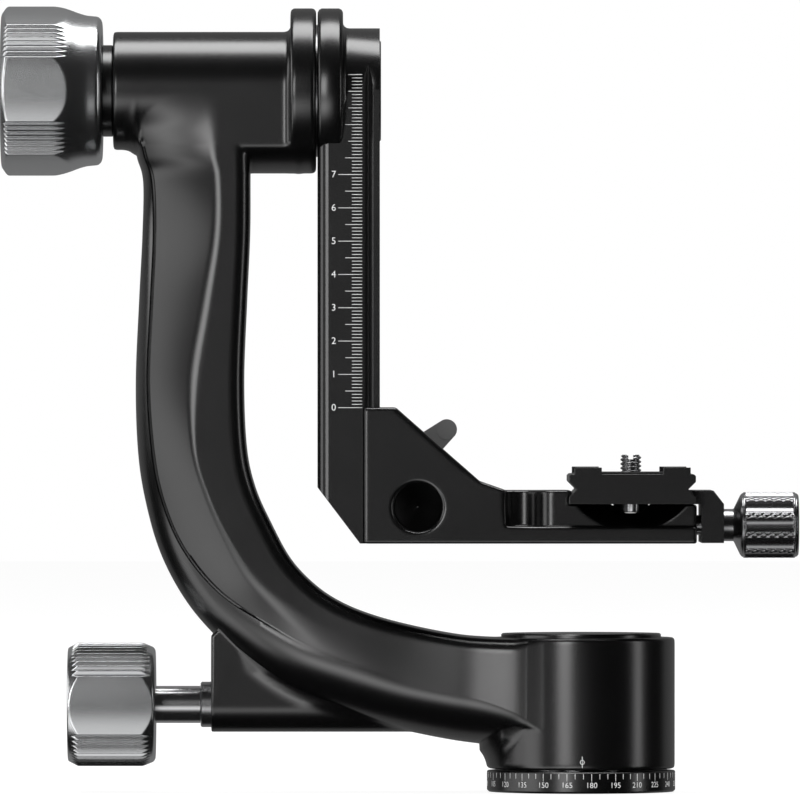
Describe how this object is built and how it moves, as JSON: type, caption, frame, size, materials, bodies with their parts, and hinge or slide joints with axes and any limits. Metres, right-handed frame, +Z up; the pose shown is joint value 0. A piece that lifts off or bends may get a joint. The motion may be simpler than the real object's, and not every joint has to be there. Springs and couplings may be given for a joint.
{
  "type": "gimbal tripod head",
  "caption": "Cantilevered gimbal head for long lenses: panning base, J-shaped arm, and a free-swinging arm with a sliding quick-release platform and lock knobs.",
  "frame": {"origin": "centre of the graduated base's underside, on the panning axis, at the mouth of the tripod thread", "axes": "+Z up the panning axis, X along the tilt axis with the arm on the -X side, the ruler and the scales on the -Y side"},
  "size_m": [0.2404, 0.0683, 0.2367],
  "materials": {
    "black_anodised": "satin black anodised",
    "silver_anodised": "bead blasted, clear anodised",
    "chrome": "polished chrome",
    "dark_chrome": "dark chrome, knurled",
    "steel": "turned steel",
    "brass": "turned brass",
    "grey_metal": "satin grey",
    "black_plastic": "matte",
    "rubber": "matte"
  },
  "bodies": {
    "base": {"graduated_base": "black_anodised", "thread_bush": "brass", "base_screws": "steel", "pan_spindle": "steel", "pan_bearing_inner_races": "steel", "pan_washer": "brass", "pan_nut": "steel"},
    "arm": {"main_arm": "black_anodised", "pan_bearing_outer_races": "steel", "pan_bearing_balls": "steel", "pan_cap": "black_anodised", "pan_cap_screws": "steel", "pan_lock_bush": "chrome", "tilt_bearing_outer_races": "steel", "tilt_bearing_balls": "steel", "friction_washer": "brass"},
    "pan_brake": {"brake_push_rod": "steel", "brake_shoe": "brass"},
    "pan_lock": {"pan_lock_shaft": "chrome", "pan_lock_knob": "silver_anodised", "pan_knob_screw": "steel"},
    "swing": {"swing_arm": "black_anodised", "tilt_axle": "steel", "axle_cap": "black_anodised", "tilt_bearing_inner_races": "steel", "tilt_spacer": "steel", "thrust_washer": "brass", "rail_stop_pin": "steel"},
    "tilt_pressure": {"tilt_collar": "black_anodised"},
    "tilt_lock": {"tilt_lock_knob": "silver_anodised", "tilt_knob_insert": "steel", "tilt_knob_cap": "black_plastic"},
    "platform": {"platform_bracket": "black_anodised"},
    "height_gib": {"rail_gib": "steel"},
    "lever": {"height_lever": "grey_metal", "lever_screw": "steel"},
    "jaw": {"moving_jaw": "black_anodised", "guide_pins": "steel"},
    "clamp": {"clamp_screw": "steel", "clamp_knob": "dark_chrome"},
    "plate": {"qr_plate": "black_anodised", "plate_pads": "rubber", "stop_pins": "steel"},
    "screw": {"camera_screw": "steel"}
  },
  "joints": [
    {"name": "pan", "type": "hinge", "parent": "base", "child": "arm", "pos_m": [0, 0, 0.0262], "axis": [0, 0, 1], "continuous": true},
    {"name": "pan_brake_travel", "type": "slide", "parent": "arm", "child": "pan_brake", "axis": [-1, 0, 0], "range_m": [0, 0.000625]},
    {"name": "pan_lock_turn", "type": "hinge", "parent": "pan_brake", "child": "pan_lock", "pos_m": [-0.1415, 0, 0.0262], "axis": [-1, 0, 0], "range_deg": [0, 180]},
    {"name": "tilt", "type": "hinge", "parent": "arm", "child": "swing", "pos_m": [-0.0796, 0, 0.2112], "axis": [1, 0, 0], "continuous": true},
    {"name": "tilt_pressure_travel", "type": "slide", "parent": "swing", "child": "tilt_pressure", "axis": [-1, 0, 0], "range_m": [0, 0.000875]},
    {"name": "tilt_lock_turn", "type": "hinge", "parent": "tilt_pressure", "child": "tilt_lock", "pos_m": [-0.16, 0, 0.2112], "axis": [-1, 0, 0], "range_deg": [0, 180]},
    {"name": "height_slide", "type": "slide", "parent": "swing", "child": "platform", "axis": [0, 0, 1], "range_m": [0, 0.08]},
    {"name": "gib_travel", "type": "slide", "parent": "platform", "child": "height_gib", "axis": [0, 1, 0], "range_m": [0, 0.00025]},
    {"name": "height_lever_turn", "type": "hinge", "parent": "height_gib", "child": "lever", "pos_m": [-0.0561, 0.029, 0.0959], "axis": [0, 1, 0], "range_deg": [0, 90]},
    {"name": "jaw_travel", "type": "slide", "parent": "platform", "child": "jaw", "axis": [1, 0, 0], "range_m": [0, 0.003]},
    {"name": "clamp_knob_turn", "type": "hinge", "parent": "jaw", "child": "clamp", "pos_m": [0.057, 0, 0.0803], "axis": [1, 0, 0], "range_deg": [0, 1080]},
    {"name": "plate_slide", "type": "slide", "parent": "platform", "child": "plate", "axis": [0, 1, 0], "range_m": [-0.0028, 0.0028]},
    {"name": "camera_screw_turn", "type": "hinge", "parent": "plate", "child": "screw", "pos_m": [0.015, 0, 0.09], "axis": [0, 0, 1], "continuous": true}
  ],
  "couplings": [
    {"joint": "pan_lock_turn", "follows": "pan_brake_travel", "rad_per_m": 5026.5},
    {"joint": "tilt_lock_turn", "follows": "tilt_pressure_travel", "rad_per_m": 3590.3},
    {"joint": "height_lever_turn", "follows": "gib_travel", "rad_per_m": 6283.1},
    {"joint": "clamp_knob_turn", "follows": "jaw_travel", "rad_per_m": 6283.1}
  ]
}
